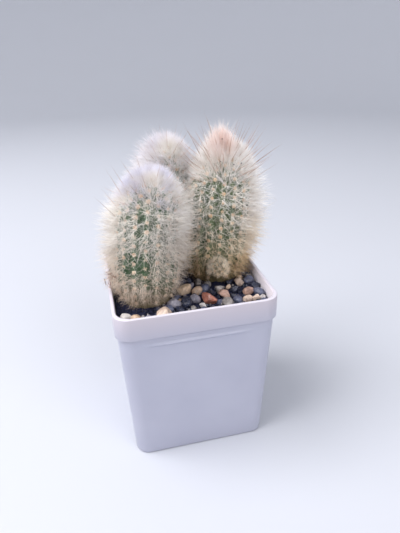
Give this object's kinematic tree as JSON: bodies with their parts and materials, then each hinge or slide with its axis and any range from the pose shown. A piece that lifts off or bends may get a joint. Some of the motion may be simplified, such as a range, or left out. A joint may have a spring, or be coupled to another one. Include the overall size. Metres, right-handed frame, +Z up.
{
  "type": "potted columnar cactus",
  "caption": "Group of woolly ribbed columnar cacti with long fine spines, standing in a square tapered pot with a rim band and a top dressing of small stones.",
  "frame": {"origin": "middle of the pot's flat underside, where it stands", "axes": "+Z up out of the pot, -Y towards the viewer in front, +X to the viewer's right"},
  "size_m": [0.0698, 0.0618, 0.1217],
  "materials": {
    "pot": "satin",
    "soil": "matte",
    "gravel": "satin",
    "stem": "matte"
  },
  "bodies": {
    "root": {"pot": "pot", "soil": "soil", "gravel": "gravel", "stem_left": "stem", "stem_right": "stem", "stem_back": "stem"}
  },
  "joints": []
}
